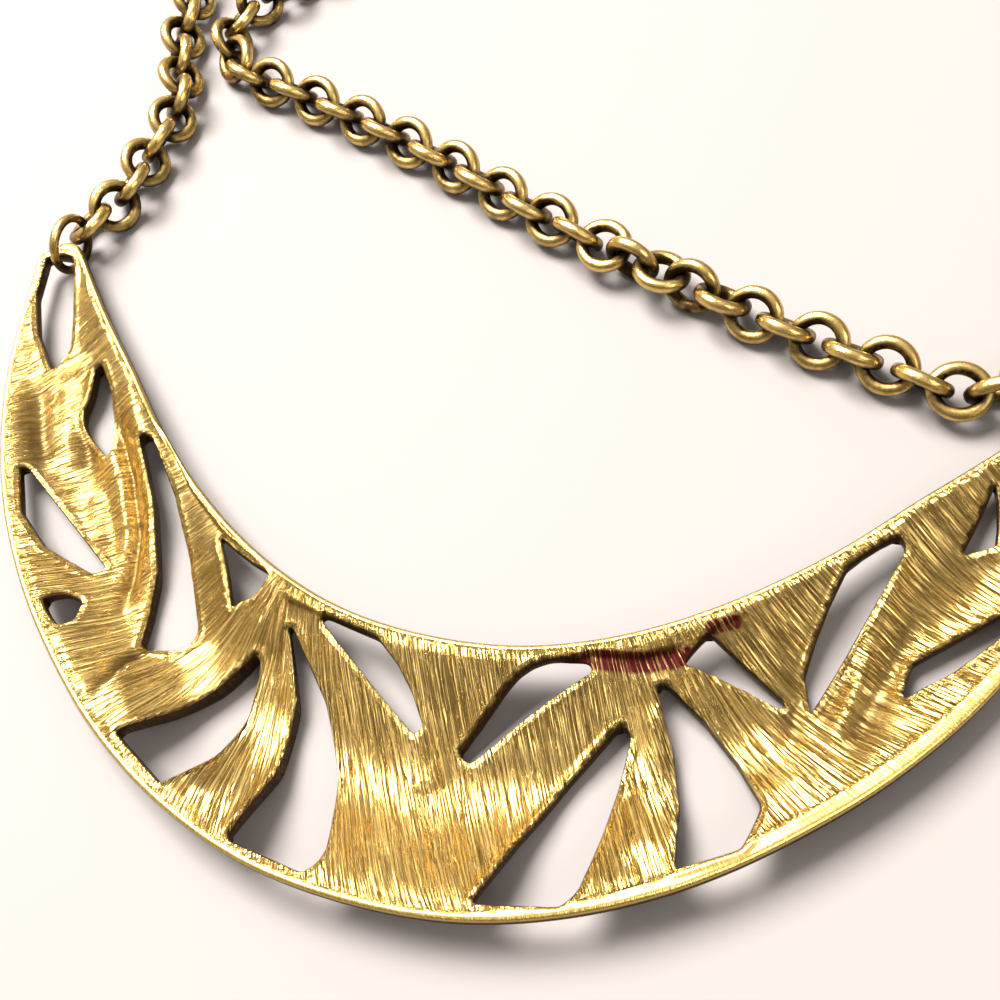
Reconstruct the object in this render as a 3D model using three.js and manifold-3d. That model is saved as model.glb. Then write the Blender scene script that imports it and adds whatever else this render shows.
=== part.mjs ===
// Bib necklace lying on a table: a pierced crescent plate, a ring in the eye of each tip,
// a chain of round links that closes the loop, and a plain clasp.
// Millimetres, +Z up, the table at z = 0, the plate's lower edge towards -Y.
import * as THREE from 'three';
import * as BufferGeometryUtils from 'three/addons/utils/BufferGeometryUtils.js';
import Module from 'manifold-3d';

// Driving dimensions
const PLATE_THICKNESS = 1.5;
const RIM_HEIGHT = 5.4;          // top of the rim over the table, at the middle of the bib
const TIP_DROP = 2.2;            // how much lower the rim is at its tips
const HOLLOW_DEPTH = 3.9;        // how far the leaves sink between the two rims
const RIM_WIDTH = 0.06;          // flat border on each side, as a share of the band's width
const TIP_ROUNDING = 1.6;        // how far the end of each arm bulges
const HALF_SPAN = 62;
const PLATE_STEPS_ALONG = 76;
const PLATE_STEPS_ACROSS = 9;

const WIRE_RADIUS = 0.52;
const LINK_RADIUS = 2.55;        // to the middle of the wire
const TIP_RING_RADIUS = 3.1;
const LINK_GAP = 0.36;           // play between two links
const LOOSE_PITCH = 2 * LINK_RADIUS - 2 * WIRE_RADIUS - LINK_GAP;
const TAUT_PITCH = 4.2;          // links of a joined stretch press into each other
const LINK_LEAN = THREE.MathUtils.degToRad(40);   // a link leans this much from lying flat
const RIGHT_TIP_RING_LEAN = THREE.MathUtils.degToRad(-45);
const LEFT_TIP_RING_LEAN = THREE.MathUtils.degToRad(-90);    // stands upright
const LEFT_TWIST = 0.24;
const TIP_RING_PITCH = TIP_RING_RADIUS + LINK_RADIUS - 2 * WIRE_RADIUS - 1.7 * LINK_GAP;

const RIGHT_LINKS = 31;          // links that are pieces of their own
const LEFT_LINKS = 11;
const CLASP_THICKNESS = 3.4;
const CLASP_WIDTH = 6.0;
const CLASP_TAB = { thickness: 1.0, bottom: 1.7, width: 5.8, hole: 1.9, rim: 1.0 };

const antiqueGold = new THREE.MeshStandardMaterial({
  name: 'antique_gold', color: 0xc39a45, roughness: 0.3, metalness: 1,
});
const agedChain = new THREE.MeshStandardMaterial({
  name: 'aged_gold_chain', color: 0x9f7a3c, roughness: 0.36, metalness: 1,
});

// Matching places on the two edges of the band, from the middle of the bib to the right tip
const STATIONS = [
  { outer: [0, 0], inner: [0, 24.8] },
  { outer: [9.5, 0.8], inner: [7.5, 25.4] },
  { outer: [18.5, 3.5], inner: [14.5, 27.4] },
  { outer: [27.3, 8.0], inner: [21.5, 30.8] },
  { outer: [35.8, 14.4], inner: [28.3, 35.4] },
  { outer: [43.8, 22.3], inner: [35.0, 41.1] },
  { outer: [50.6, 31.6], inner: [41.7, 48.1] },
  { outer: [56.5, 44.0], inner: [48.8, 55.4] },
  { outer: [60.9, 61.5], inner: [56.0, 63.6] },
];

// Openings between the leaves. Each row is a corner [x, y, bulge], taken anticlockwise; the
// side to the next corner is an arc that bulges outwards by that much, or inwards if negative.
const TIP_EYE = [[-59.8, 61.9, 1.6], [-52.4, 47.0, 0.2], [-51.5, 50.0, 0.2], [-56.3, 61.9, 0.3]];
const OPENINGS = {
  left_tip_eye: TIP_EYE,
  right_tip_eye: TIP_EYE.map(([x, y], i) => [-x, y, TIP_EYE[(i + 3) % 4][2]]).reverse(),
  left_arm_slot: [[-46.9, 48.0, -0.3], [-46.5, 43.0, 0.3], [-44.9, 40.3, 0], [-41.2, 37.7, 0.1],
    [-40.9, 38.6, 0.7], [-46.0, 48.2, 0.1]],
  left_long_leaf: [[-37.4, 40.0, -1.7], [-28.9, 18.5, 0.2], [-24.7, 19.4, 0.2],
    [-24.0, 21.4, 1.1], [-35.8, 40.0, 0.2]],
  left_side_leaf: [[-49.8, 34.2, 2.5], [-37.4, 24.8, 0.2], [-36.3, 25.8, 0], [-49.0, 34.4, 0.2]],
  left_small_hole: [[-39.9, 20.4, 0.2], [-37.2, 18.2, 0.1], [-36.1, 19.2, 0], [-36.4, 21.4, 0.1],
    [-38.4, 21.6, 0.1]],
  left_triangle: [[-24.0, 30.5, -0.2], [-20.7, 24.0, 0], [-18.2, 25.4, 0.1], [-17.4, 27.6, -0.2]],
  left_crescent: [[-16.6, 19.9, -0.8], [-26.3, 9.3, 0], [-20.1, 5.8, 2.1], [-16.0, 19.2, 0.1]],
  centre_left_leaf: [[-13.9, 22.9, -2.4], [-12.1, 2.6, 0], [-4.6, 1.5, 0.3], [-3.4, 3.9, 1.7],
    [-13.3, 22.8, 0.1]],
  centre_left_slit: [[-10.8, 24.2, 0.1], [0.5, 16.1, 0.1], [1.3, 16.9, 0.6], [-4.6, 23.4, 0],
    [-10.2, 24.5, 0.1]],
  centre_right_slit: [[5.2, 15.3, 0.1], [6.4, 14.8, -0.2], [15.6, 25.0, 0.1], [15.0, 25.6, 0.1],
    [11.6, 24.8, 0.4], [8.4, 21.6, 0]],
  centre_right_leaf: [[18.9, 20.8, 0.6], [10.5, 2.6, 0], [17.6, 4.1, 0.2], [18.9, 6.2, 0.3],
    [20.1, 20.3, 0.3]],
  right_wide_leaf: [[21.5, 24.9, -1.1], [26.3, 9.4, 0], [31.2, 12.3, 0.1], [32.3, 16.6, 1.0],
    [22.4, 25.3, 0.1]],
  right_triangle: [[23.5, 27.6, -0.2], [32.6, 26.0, 0.1], [32.9, 26.6, 0], [25.3, 30.6, 0.1]],
  right_long_slot: [[40.4, 43.9, 0.2], [36.3, 39.6, 0.3], [34.2, 29.2, 0], [35.2, 26.2, 0.1],
    [41.2, 43.1, 0.1]],
  right_arm_slot: [[48.4, 51.4, -0.1], [46.3, 44.0, 0], [49.2, 45.6, 0.3]],
  right_side_leaf: [[42.7, 28.9, 0.8], [52.3, 39.6, 0.1], [51.9, 40.0, 0], [43.3, 32.5, 0.1]],
};

// The chain's route on the table, [x, y], from each tip to the clasp. Near the left arm both
// sides run on together, and then part into the round end of the loop.
const RIGHT_ROUTE = [[56.3, 68.2], [53.3, 66.6], [50.5, 64.1], [47.3, 62.2], [43.6, 61.5],
  [36.7, 63.6], [29.5, 65.6], [22.4, 67.8], [15.2, 70.3], [9.9, 72.0], [4.5, 74.1],
  [-2.1, 77.0], [-9.2, 80.4], [-17.2, 84.1], [-26.0, 87.7], [-33.8, 90.5], [-40.6, 92.8],
  [-46.4, 94.7], [-50.2, 99.0], [-50.4, 104.5], [-47.5, 110.0], [-41.2, 118.0], [-38.2, 126.5],
  [-37.8, 134.0]];
const LEFT_ROUTE = [[-56.9, 67.9], [-54.9, 71.1], [-54.1, 75.5], [-53.8, 80.5], [-53.3, 86.0],
  [-54.6, 91.5], [-57.1, 97.5], [-58.4, 103.5], [-59.8, 109.5], [-64.5, 118.0], [-70.0, 127.5],
  [-72.5, 138.0], [-69.5, 148.0], [-62.0, 155.0], [-52.5, 156.5], [-44.0, 152.5],
  [-38.6, 144.5], [-37.8, 136.0]];

const wasm = await Module();
wasm.setup();

function welded(geometry) {
  const bare = geometry.clone();
  bare.deleteAttribute('normal');
  bare.deleteAttribute('uv');
  return BufferGeometryUtils.mergeVertices(bare, 1e-4);
}

function toManifold(geometry) {
  const closed = welded(geometry);
  return new wasm.Manifold(new wasm.Mesh({
    numProp: 3,
    vertProperties: new Float32Array(closed.attributes.position.array),
    triVerts: new Uint32Array(closed.index.array),
  }));
}

function fromManifold(solid) {
  const mesh = solid.getMesh();
  const geometry = new THREE.BufferGeometry();
  geometry.setAttribute('position', new THREE.BufferAttribute(mesh.vertProperties, 3));
  geometry.setIndex(new THREE.BufferAttribute(mesh.triVerts, 1));
  geometry.computeVertexNormals();
  return geometry;
}

// --- The plate ---------------------------------------------------------------------------

function edgeCurve(edge) {
  const right = STATIONS.map((row) => new THREE.Vector3(row[edge][0], row[edge][1], 0));
  const left = right.slice(1).reverse().map((p) => new THREE.Vector3(-p.x, p.y, 0));
  return new THREE.CatmullRomCurve3([...left, ...right], false, 'centripetal');
}

const outerEdge = edgeCurve('outer');
const innerEdge = edgeCurve('inner');

// A point in the middle of the plate's thickness: along 0..1 from the left tip to the right
// tip, across 0..1 from the outer edge to the inner edge.
function platePoint(along, across) {
  const point = outerEdge.getPoint(along).lerp(innerEdge.getPoint(along), across);
  const towardsTip = Math.abs(2 * along - 1);
  const tipShare = THREE.MathUtils.smoothstep(towardsTip, 0.93, 1);
  point.y += TIP_ROUNDING * tipShare * 4 * across * (1 - across);
  const arch = (point.x / HALF_SPAN) ** 2;
  const inBand = THREE.MathUtils.clamp((across - RIM_WIDTH) / (1 - 2 * RIM_WIDTH), 0, 1);
  const hollow = HOLLOW_DEPTH * (1 - towardsTip ** 2) * Math.sin(Math.PI * inBand) ** 1.3;
  point.z = RIM_HEIGHT - PLATE_THICKNESS / 2 - TIP_DROP * arch - hollow;
  return point;
}

function plateSlab() {
  const columns = PLATE_STEPS_ALONG + 1;
  const rows = PLATE_STEPS_ACROSS + 1;
  const positions = [];
  for (const side of [1, -1]) {
    for (let i = 0; i < columns; i += 1) {
      for (let j = 0; j < rows; j += 1) {
        const point = platePoint(i / PLATE_STEPS_ALONG, j / PLATE_STEPS_ACROSS);
        positions.push(point.x, point.y, point.z + side * PLATE_THICKNESS / 2);
      }
    }
  }
  const top = (i, j) => i * rows + j;
  const bottom = (i, j) => columns * rows + top(i, j);
  const indices = [];
  const quad = (a, b, c, d) => indices.push(a, b, c, a, c, d);
  for (let i = 0; i < PLATE_STEPS_ALONG; i += 1) {
    for (let j = 0; j < PLATE_STEPS_ACROSS; j += 1) {
      quad(top(i, j), top(i + 1, j), top(i + 1, j + 1), top(i, j + 1));
      quad(bottom(i, j), bottom(i, j + 1), bottom(i + 1, j + 1), bottom(i + 1, j));
    }
    quad(bottom(i, 0), bottom(i + 1, 0), top(i + 1, 0), top(i, 0));
    const last = PLATE_STEPS_ACROSS;
    quad(top(i, last), top(i + 1, last), bottom(i + 1, last), bottom(i, last));
  }
  for (let j = 0; j < PLATE_STEPS_ACROSS; j += 1) {
    const end = PLATE_STEPS_ALONG;
    quad(bottom(0, j + 1), bottom(0, j), top(0, j), top(0, j + 1));
    quad(top(end, j + 1), top(end, j), bottom(end, j), bottom(end, j + 1));
  }
  const geometry = new THREE.BufferGeometry();
  geometry.setAttribute('position', new THREE.Float32BufferAttribute(positions, 3));
  geometry.setIndex(indices);
  return geometry;
}

function openingPrism(corners) {
  const shape = new THREE.Shape();
  shape.moveTo(corners[0][0], corners[0][1]);
  corners.forEach(([x, y, bulge], i) => {
    const [nextX, nextY] = corners[(i + 1) % corners.length];
    const length = Math.hypot(nextX - x, nextY - y);
    const outX = (nextY - y) / length;
    const outY = (x - nextX) / length;
    // the middle of a quadratic curve lies half way to its control point
    const controlX = (x + nextX) / 2 + 2 * bulge * outX;
    const controlY = (y + nextY) / 2 + 2 * bulge * outY;
    if (bulge === 0) shape.lineTo(nextX, nextY);
    else shape.quadraticCurveTo(controlX, controlY, nextX, nextY);
  });
  const prism = new THREE.ExtrudeGeometry(shape, {
    depth: 2 * RIM_HEIGHT, bevelEnabled: false, curveSegments: 3,
  });
  prism.translate(0, 0, -RIM_HEIGHT / 2);
  return prism;
}

function bibPlate() {
  let solid = toManifold(plateSlab());
  for (const corners of Object.values(OPENINGS)) {
    solid = solid.subtract(toManifold(openingPrism(corners)));
  }
  return fromManifold(solid);
}

// --- The chain ---------------------------------------------------------------------------

// Places at set distances along a route: the first one is the tip ring's, the others links'
function placesAlong(tip, route, count, pitchAfter) {
  const curve = new THREE.CatmullRomCurve3(
    [tip, ...route].map(([x, y]) => new THREE.Vector3(x, y, 0)), false, 'catmullrom', 0.5);
  curve.arcLengthDivisions = 40 * route.length;
  const total = curve.getLength();
  const places = [];
  let distance = 0;
  for (let i = 0; i < count; i += 1) {
    const share = distance / total;
    places.push({ centre: curve.getPointAt(share), along: curve.getTangentAt(share) });
    distance += pitchAfter(i);
  }
  return places;
}

// A ring whose hole's axis leans from upright by the given angle, about its chain's direction
function ringMatrix(place, height, lean) {
  const along = place.along;
  const sideways = new THREE.Vector3(along.y, -along.x, 0);
  const axis = new THREE.Vector3(0, 0, 1).multiplyScalar(Math.cos(lean));
  axis.addScaledVector(sideways, Math.sin(lean));
  const third = new THREE.Vector3().crossVectors(axis, along);
  const matrix = new THREE.Matrix4().makeBasis(along, third, axis);
  return matrix.setPosition(place.centre.x, place.centre.y, height);
}

function ringGeometry(radius, sides, steps) {
  return welded(new THREE.TorusGeometry(radius, WIRE_RADIUS, sides, steps));
}

function ringMesh(name, geometry, matrix) {
  const mesh = new THREE.Mesh(geometry, agedChain);
  mesh.name = name;
  mesh.applyMatrix4(matrix);
  return mesh;
}

function joinedLinks(matrices) {
  let solid = null;
  for (const matrix of matrices) {
    const link = toManifold(ringGeometry(LINK_RADIUS, 4, 10).applyMatrix4(matrix));
    solid = solid ? solid.add(link) : link;
  }
  return fromManifold(solid);
}

// One side of the chain. `facing` is +1 or -1: which way its open-looking links lean.
function chainSide(side) {
  const { name, tip, route, singleLinks, stretches, facing } = side;
  const stretchStarts = [];
  let count = 1 + singleLinks;
  for (const n of stretches) {
    stretchStarts.push(count);
    count += n;
  }
  const pitchAfter = (i) => {
    if (i === 0) return TIP_RING_PITCH;
    return i <= singleLinks || stretchStarts.includes(i + 1) ? LOOSE_PITCH : TAUT_PITCH;
  };
  const places = placesAlong(tip, route, count, pitchAfter);
  const leanOf = (i) => {
    const crossways = i % 2 === side.crosswaysParity ? -Math.PI / 2 : 0;
    return facing * (LINK_LEAN + crossways + side.twist(i));
  };
  const restHeight = (i) => LINK_RADIUS * Math.abs(Math.sin(leanOf(i))) + WIRE_RADIUS;
  const linkMatrix = (i) => {
    const height = Math.max(restHeight(i - 1), restHeight(i), restHeight(i + 1));
    return ringMatrix(places[i], height, leanOf(i));
  };
  const group = new THREE.Group();
  const tipHeight = TIP_RING_RADIUS * Math.abs(Math.sin(side.tipRingLean)) + WIRE_RADIUS + 0.02;
  const tipMatrix = ringMatrix(places[0], tipHeight, side.tipRingLean);
  group.add(ringMesh(`tip_ring_${name}`, ringGeometry(TIP_RING_RADIUS, 6, 12), tipMatrix));
  const single = ringGeometry(LINK_RADIUS, 6, 10);
  for (let i = 1; i <= singleLinks; i += 1) {
    const label = String(i).padStart(2, '0');
    group.add(ringMesh(`link_${name}_${label}`, single, linkMatrix(i)));
  }
  stretches.forEach((n, k) => {
    const start = stretchStarts[k];
    const matrices = Array.from({ length: n }, (_, j) => linkMatrix(start + j));
    const mesh = new THREE.Mesh(joinedLinks(matrices), agedChain);
    mesh.name = `chain_${name}_stretch_${k + 1}`;
    group.add(mesh);
  });
  return { group, last: places[count - 1] };
}

// --- The clasp ---------------------------------------------------------------------------

function slab(width, length, bottom, thickness, holes) {
  const corner = Math.min(width, length) * 0.3;
  const x = length / 2;
  const y = width / 2;
  const shape = new THREE.Shape();
  shape.moveTo(-x + corner, -y);
  shape.lineTo(x - corner, -y);
  shape.quadraticCurveTo(x, -y, x, -y + corner);
  shape.lineTo(x, y - corner);
  shape.quadraticCurveTo(x, y, x - corner, y);
  shape.lineTo(-x + corner, y);
  shape.quadraticCurveTo(-x, y, -x, y - corner);
  shape.lineTo(-x, -y + corner);
  shape.quadraticCurveTo(-x, -y, -x + corner, -y);
  for (const hole of holes) {
    const path = new THREE.Path();
    path.absarc(hole, 0, CLASP_TAB.hole, 0, 2 * Math.PI, true);
    shape.holes.push(path);
  }
  const geometry = new THREE.ExtrudeGeometry(shape, {
    depth: thickness, bevelEnabled: false, curveSegments: 8,
  });
  geometry.translate(0, 0, bottom);
  return geometry;
}

// A flat oblong body with a pierced tab at each end, between the chain's two last links
function clasp(from, to) {
  const span = from.centre.distanceTo(to.centre);
  const holeAt = span / 2 - LINK_RADIUS;
  const tabEnd = holeAt + CLASP_TAB.hole + CLASP_TAB.rim;
  const bodyLength = 2 * (holeAt - CLASP_TAB.hole - CLASP_TAB.rim / 2);
  const tabs = toManifold(slab(CLASP_TAB.width, 2 * tabEnd, CLASP_TAB.bottom,
    CLASP_TAB.thickness, [-holeAt, holeAt]));
  const body = toManifold(slab(CLASP_WIDTH, bodyLength, 0, CLASP_THICKNESS, []));
  const mesh = new THREE.Mesh(fromManifold(body.add(tabs)), agedChain);
  mesh.name = 'clasp';
  mesh.position.copy(from.centre).lerp(to.centre, 0.5);
  mesh.rotation.z = Math.atan2(to.centre.y - from.centre.y, to.centre.x - from.centre.x);
  return mesh;
}

// --- The necklace ------------------------------------------------------------------------

const necklace = new THREE.Group();
const plate = new THREE.Mesh(bibPlate(), antiqueGold);
plate.name = 'bib_plate';
necklace.add(plate);

// The long side of the chain turns flat into its tip ring, and a quarter turn about half way.
// The short side turns a little near its upright tip ring.
const turnAtTip = (i) => -LINK_LEAN * (1 - THREE.MathUtils.smoothstep(i, 1, 8));
const quarterTurn = (i) => Math.PI / 2 * THREE.MathUtils.smoothstep(i, 10, 19);

const right = chainSide({
  name: 'right', tip: [57.3, 63.8], route: RIGHT_ROUTE, singleLinks: RIGHT_LINKS, stretches: [9],
  facing: -1, crosswaysParity: 0, tipRingLean: RIGHT_TIP_RING_LEAN,
  twist: (i) => turnAtTip(i) + quarterTurn(i),
});
const left = chainSide({
  name: 'left', tip: [-57.3, 63.8], route: LEFT_ROUTE, singleLinks: LEFT_LINKS,
  stretches: [8, 7, 7], facing: 1, crosswaysParity: 1, tipRingLean: LEFT_TIP_RING_LEAN,
  twist: (i) => LEFT_TWIST * (1 - THREE.MathUtils.smoothstep(i, 1, 5)),
});
necklace.add(right.group, left.group, clasp(left.last, right.last));

// The origin is under the middle of the necklace's box, on the table
const middle = new THREE.Box3().setFromObject(necklace, true).getCenter(new THREE.Vector3());
necklace.position.set(-middle.x, -middle.y, 0);

export default necklace;
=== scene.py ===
"""Looks of the bib necklace: a cast, antiqued-gold crescent plate on a chain of round links.

Shapes are worked out in millimetres in the plate's own plan: x = 0 at the middle of the bib,
y = 0 at its lower edge, z = 0 on the table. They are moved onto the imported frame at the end.
"""
import math

import bmesh
import bpy
import numpy as np
from mathutils import Matrix, Vector
from mathutils.geometry import delaunay_2d_cdt
from mathutils.kdtree import KDTree


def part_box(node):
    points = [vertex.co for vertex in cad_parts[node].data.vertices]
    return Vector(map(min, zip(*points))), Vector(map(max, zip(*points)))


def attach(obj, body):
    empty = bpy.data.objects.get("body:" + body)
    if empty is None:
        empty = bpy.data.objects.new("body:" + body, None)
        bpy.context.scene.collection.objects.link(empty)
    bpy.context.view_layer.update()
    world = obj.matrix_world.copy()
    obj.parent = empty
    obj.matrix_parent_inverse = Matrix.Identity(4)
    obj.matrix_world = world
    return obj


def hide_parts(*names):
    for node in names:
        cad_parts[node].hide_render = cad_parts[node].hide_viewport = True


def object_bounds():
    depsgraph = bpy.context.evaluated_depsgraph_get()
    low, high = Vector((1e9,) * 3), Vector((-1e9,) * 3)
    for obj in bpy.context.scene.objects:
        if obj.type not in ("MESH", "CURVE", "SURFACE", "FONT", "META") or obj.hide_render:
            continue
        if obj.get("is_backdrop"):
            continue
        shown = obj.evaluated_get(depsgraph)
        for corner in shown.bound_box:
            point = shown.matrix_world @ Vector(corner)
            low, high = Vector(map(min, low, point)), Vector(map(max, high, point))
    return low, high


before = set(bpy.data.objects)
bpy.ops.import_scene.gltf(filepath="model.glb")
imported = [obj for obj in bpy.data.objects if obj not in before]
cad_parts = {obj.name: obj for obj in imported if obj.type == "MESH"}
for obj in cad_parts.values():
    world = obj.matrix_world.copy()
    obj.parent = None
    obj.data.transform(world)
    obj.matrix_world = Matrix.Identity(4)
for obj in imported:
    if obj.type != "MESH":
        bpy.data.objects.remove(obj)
cad_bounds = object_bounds()

MM = 0.001
plate_low, plate_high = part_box("bib_plate")
ORIGIN = np.array([(plate_low[0] + plate_high[0]) / 2, plate_low[1], 0.0]) / MM

# The plate, in millimetres
RIM_TOP = plate_high[2] / MM
PLATE_THICKNESS = 1.5
TIP_DROP = 2.2                  # how much lower the rim is at its tips
HOLLOW_DEPTH = 3.9
HOLLOW_SHAPE = 1.3              # above 1 the hollow starts softly beside the rims
RIM_SHARE = 0.06                # of the band's width, flat beside each edge
HALF_SPAN = 62.0
TIP_CORNERS = {"outer": (60.9, 61.5), "inner": (56.0, 63.6)}

# Its mesh
EDGE_SPACING = 0.26
CORNER_SOFTENING = 0.2          # in the openings
OUTLINE_SOFTENING = 0.7
EDGE_RINGS = (0.09, 0.22)       # rows of points that follow the edges
RING_CLEARANCE = 0.14
TOP_SPACING = 0.2
UNEVENNESS = 0.08               # of the spacing
UNDERSIDE_SPACING = 1.2
UNDERSIDE_CLEARANCE = 0.7
UNDERSIDE_INSET = 0.15
EDGE_ROUNDING = 0.3
WALL_ROWS = ((0.34, 0.0), (0.68, 0.02))     # share of the wall above, how far inwards

# Its finish, and the painted shade beside its walls
SHADED_SIDE = (-0.6, 0.8)    # openings get a wider band of painted shade on this side
# how much further the painted shade reaches on that side
SHADED_SIDE_REACH = 0.34
EDGE_SHADE = 0.12               # how far the painted shade of a wall reaches onto the top
EDGE_RAGGEDNESS = 0.18
PLAIN_TIP = {"x": (51.5, 54.5), "outer": (2.5, 3.5), "across": (0.45, 0.6), "polish": 0.85}
RIM_POLISH = 0.7
LIP = {"place": 0.45, "width": 0.35, "height": 0.10}
LIP_POLISH = {"place": 0.3, "width": 0.25, "amount": 0.45}
BRUSHED = {"coarse": (1.3, 0.05), "fine": (2.4, 0.07), "height": 0.16, "from_rim": (0.5, 1.1)}
CASTING_WAVES = {"scale": 0.35, "height": 0.05}
GRAIN_REACH = 75.0              # half the band's length, to count the grain in millimetres
FAR_FROM_RIM = 9.0

# Where the lines of the brushed grain start on the inner edge and end on the outer edge (x)
GRAIN_LINES = [
    (-56.0, -61.0), (-40.3, -52.6), (-30.5, -46.3), (-22.7, -40.1), (-16.6, -30.9),
    (-15.4, -21.3), (-14.6, -10.7), (-12.5, -1.7), (-7.0, 6.6), (0.6, 12.7), (8.8, 19.2),
    (15.0, 24.5), (18.4, 31.0), (21.2, 36.6), (24.0, 41.7), (28.0, 46.0), (33.0, 50.1),
    (40.5, 54.2), (56.0, 61.0),
]

# Ridges of the leaves, and valleys where the height is negative: middle line, half width,
# height
RELIEF = [
    {"line": [(-55.2, 47.6), (-51.4, 47.9), (-47.6, 47.6)], "width": 2.0, "height": 0.45},
    {"line": [(-50.1, 46.3), (-47.8, 41.4), (-45.4, 37.0)], "width": 1.2, "height": 0.4},
    {"line": [(-45.0, 43.6), (-41.9, 39.0), (-38.5, 34.7), (-35.7, 30.5), (-33.6, 26.3)],
     "width": 1.3, "height": 0.5},
    {"line": [(-41.2, 44.9), (-37.2, 39.9), (-33.9, 34.4), (-31.6, 27.8), (-30.5, 21.3)],
     "width": 1.2, "height": 0.6},
    {"line": [(-41.0, 34.0), (-39.2, 30.2), (-37.8, 26.8)], "width": 1.2, "height": 0.4},
    {"line": [(-53.4, 45.0), (-50.4, 39.2), (-48.0, 35.2)], "width": 1.2, "height": -0.8},
    {"line": [(-41.5, 42.0), (-37.4, 36.1), (-34.2, 30.0), (-32.6, 22.0)],
     "width": 0.7, "height": -0.85},
    {"line": [(-46.0, 41.0), (-43.0, 36.5)], "width": 1.3, "height": -0.65},
    {"line": [(42.6, 36.0), (40.9, 29.5), (38.6, 21.9)], "width": 1.2, "height": -0.4},
    {"line": [(40.9, 40.0), (40.0, 34.7), (38.7, 29.5), (37.0, 24.0)],
     "width": 1.2, "height": 0.45},
    {"line": [(33.6, 27.4), (34.2, 22.4)], "width": 0.9, "height": -0.35},
    {"line": [(-15.1, 25.5), (-19.6, 19.2), (-24.9, 14.4), (-29.2, 11.5)],
     "width": 2.6, "height": 1.0},
    {"line": [(-27.7, 19.3), (-29.5, 16.6), (-30.3, 12.8)], "width": 0.5, "height": -0.6},
    {"line": [(-15.6, 20.1), (-13.5, 13.6), (-14.5, 7.6), (-17.0, 5.1)],
     "width": 2.2, "height": 0.8},
    {"line": [(-9.4, 22.5), (-1.0, 15.4), (4.1, 11.1)], "width": 3.0, "height": 0.4},
    {"line": [(20.9, 24.2), (22.3, 16.2), (22.7, 8.5)], "width": 2.0, "height": 0.8},
    {"line": [(25.2, 26.1), (31.2, 21.9), (35.3, 17.5)], "width": 2.4, "height": 0.7},
    {"line": [(37.5, 36.5), (37.0, 30.5), (36.4, 25.0)], "width": 1.2, "height": -0.45},
    {"line": [(-12.9, 22.0), (-10.6, 14.0), (-11.0, 7.0), (-12.1, 3.5)],
     "width": 0.8, "height": 0.7},
    {"line": [(-16.6, 19.9), (-21.0, 13.5), (-26.0, 9.6)], "width": 0.8, "height": 0.6},
    {"line": [(18.5, 20.5), (15.0, 12.5), (10.5, 3.0)], "width": 0.8, "height": 0.5},
    {"line": [(21.9, 24.0), (23.4, 17.0), (26.0, 10.5)], "width": 0.8, "height": 0.5},
    {"line": [(34.2, 29.2), (36.3, 39.6)], "width": 0.7, "height": 0.4},
    {"line": [(42.7, 28.9), (52.3, 39.6)], "width": 0.7, "height": 0.4},
]
# Where a leaf tucks under the inner rim: the line of the step, and how deep it is
TUCKS = [
    {"line": [(8.5, 21.8), (12.3, 25.0), (15.2, 26.5), (19.5, 27.3), (23.6, 29.4)],
     "depth": 0.95, "reach": 2.0},
    {"line": [(23.6, 27.8), (25.6, 31.4), (28.4, 33.6)], "depth": 0.45, "reach": 1.8},
    {"line": [(-15.2, 25.6), (-10.6, 24.6), (-5.0, 23.8)], "depth": 0.4, "reach": 1.8},
    {"line": [(-36.5, 42.5), (-29.0, 35.0), (-24.0, 31.2), (-18.0, 28.2)],
     "depth": 0.45, "reach": 2.0},
]
# The polished outer border: how wide it is at each x, and how proud of the leaves
BORDER = {"x": (-62, 5, 20, 30, 62), "width": (0.8, 0.85, 1.3, 1.8, 1.8), "height": 0.22}
# Dry red colour in the grooves: the middle line of each patch and its half width
STAINS = [
    {"line": [(15.1, 25.8), (19.5, 26.6), (23.8, 28.2)], "width": 1.0},
    {"line": [(25.3, 31.2), (27.2, 32.2)], "width": 0.7},
]
SMALL_DISC = {"centre": (2.8, 11.9), "radius": 0.75, "height": 0.12}

# The chain: the wire as it looks
WIRE_RADIUS = 0.75
TIP_RING_WIRE_RADIUS = 0.54
LINK_HALF_LENGTH = 2.58         # to the middle of the wire, along the chain
LINK_HALF_WIDTH = 2.35
LINK_LIFT = 0.2                 # keeps the thicker wire off the table

# The chain: how it lies in the frame
TIP_RING_RADIUS = 3.1
CAD_WIRE = 0.52
CAD_LINK_RADIUS = 2.55
LINK_GAP = 0.36
LOOSE_PITCH = 2 * CAD_LINK_RADIUS - 2 * CAD_WIRE - LINK_GAP
TAUT_PITCH = 4.2                # in the joined stretches
TIP_RING_PITCH = TIP_RING_RADIUS + CAD_LINK_RADIUS - 2 * CAD_WIRE - 1.7 * LINK_GAP
LINK_LEAN = math.radians(40)
RIGHT_TIP_RING_LEAN = math.radians(-45)
LEFT_TIP_RING_LEAN = math.radians(-90)      # stands upright
LEFT_TWIST = 0.24
# Drawn wire a little out of true: shares of the ring's size and of the wire's thickness
OUT_OF_TRUE = {"oval": 0.012, "wave": 0.02, "joint": 0.03, "flat": 0.05, "worn": 0.03}
JOINT_ANGLE = 0.05
# painted light on the wire's upper side, painted shade on its inner side and where neighbours
# touch
LINK_LIGHT_AND_SHADE = {"level": 0.72, "upward": 0.35, "inner": 0.75, "contact": 0.35}
GRAIN_STEP = 7.3                # gives each link lines of its own
CLASP_BEVEL = 0.22
CLASP_SHADE_TO_LIGHT = (0.5, 3.0)         # heights between which the clasp goes from painted shade to painted light
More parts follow.
